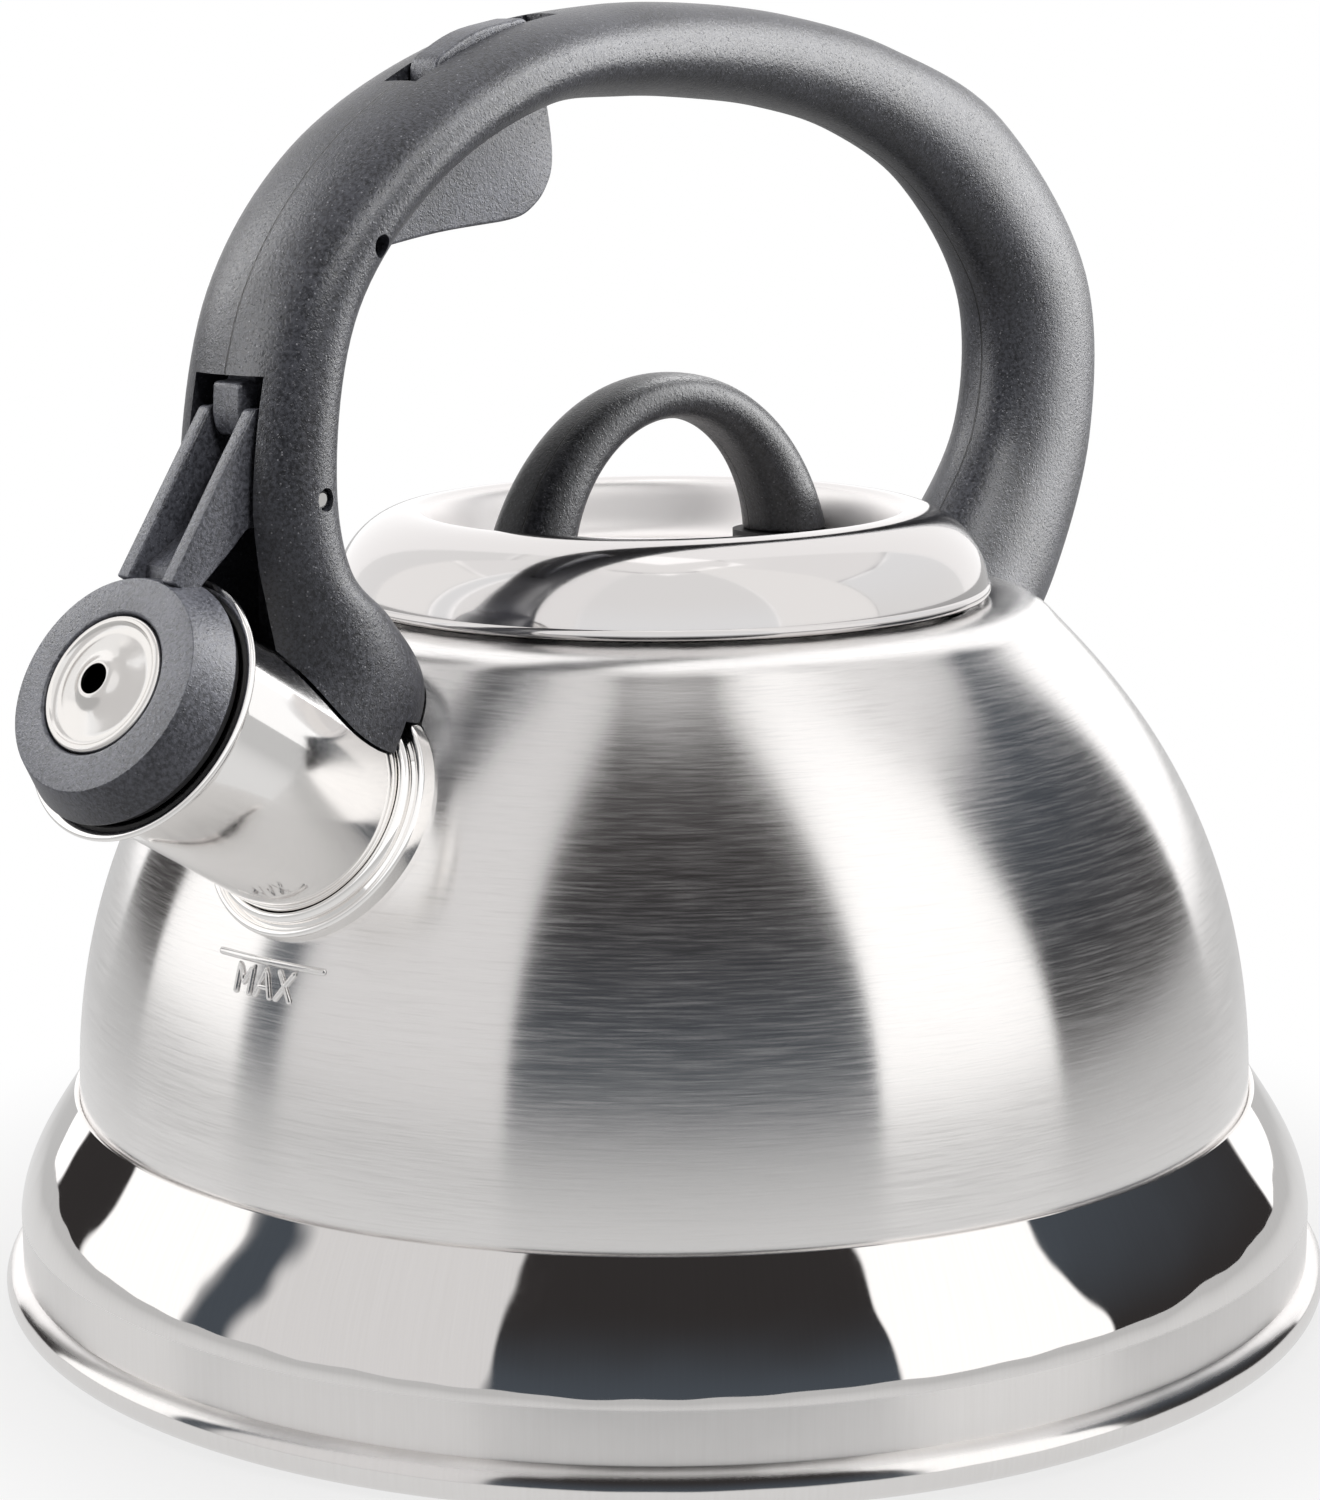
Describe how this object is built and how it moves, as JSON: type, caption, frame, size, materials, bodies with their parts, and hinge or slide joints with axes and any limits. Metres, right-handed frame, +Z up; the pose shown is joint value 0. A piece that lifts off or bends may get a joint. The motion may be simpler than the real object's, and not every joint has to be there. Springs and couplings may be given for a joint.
{
  "type": "stovetop whistling kettle",
  "caption": "Domed steel kettle with a flared base, lift-off lid, loop handle and a trigger that swings the whistle cap off the spout.",
  "frame": {"origin": "centre of the base, on the surface the kettle stands on", "axes": "+Z up; the spout points to -X; handle, spout, trigger and whistle lever share the plane Y = 0"},
  "size_m": [0.2406, 0.21, 0.1992],
  "materials": {
    "brushed_steel": "satin stainless steel, grain running round the body",
    "polished_steel": "mirror-polished stainless steel",
    "handle_plastic": "fine-grained dark grey moulded plastic",
    "knob_plastic": "smooth dark moulded plastic",
    "black_rubber": "soft black rubber"
  },
  "bodies": {
    "kettle": {"body_shell": "brushed_steel", "base_shell": "polished_steel", "heat_plate": "brushed_steel", "spout_tube": "polished_steel", "spout_collar": "polished_steel", "handle": "handle_plastic", "front_tab": "brushed_steel", "rear_tab": "brushed_steel", "front_screw": "polished_steel", "rear_screw": "polished_steel", "trigger_pin": "polished_steel", "lever_pin": "polished_steel", "lever_spring": "polished_steel"},
    "lid": {"lid_shell": "polished_steel", "lid_skirt": "brushed_steel", "knob": "knob_plastic", "knob_foot_front": "black_rubber", "knob_foot_rear": "black_rubber", "knob_screw_front": "polished_steel", "knob_screw_rear": "polished_steel"},
    "trigger": {"trigger": "handle_plastic"},
    "whistle": {"whistle_lever": "handle_plastic", "whistle_ring": "handle_plastic", "whistle_disc": "polished_steel", "whistle_inner_disc": "polished_steel", "whistle_plug": "black_rubber"}
  },
  "joints": [
    {"name": "whistle_swing", "type": "hinge", "parent": "kettle", "child": "whistle", "pos_m": [-0.08584, 0, 0.1327], "axis": [0, 1, 0], "range_deg": [0, 30.4], "stiffness_Nm_per_rad": 0.06, "springref_deg": -11.46},
    {"name": "trigger_squeeze", "type": "hinge", "parent": "kettle", "child": "trigger", "pos_m": [-0.07445, 0, 0.16597], "axis": [0, -1, 0], "range_deg": [0, 9.5]},
    {"name": "lid_lift", "type": "slide", "parent": "kettle", "child": "lid", "axis": [0, 0, 1], "range_m": [0, 0.035]}
  ],
  "couplings": [
    {"joint": "trigger_squeeze", "follows": "whistle_swing", "ratio": 0.3125}
  ]
}
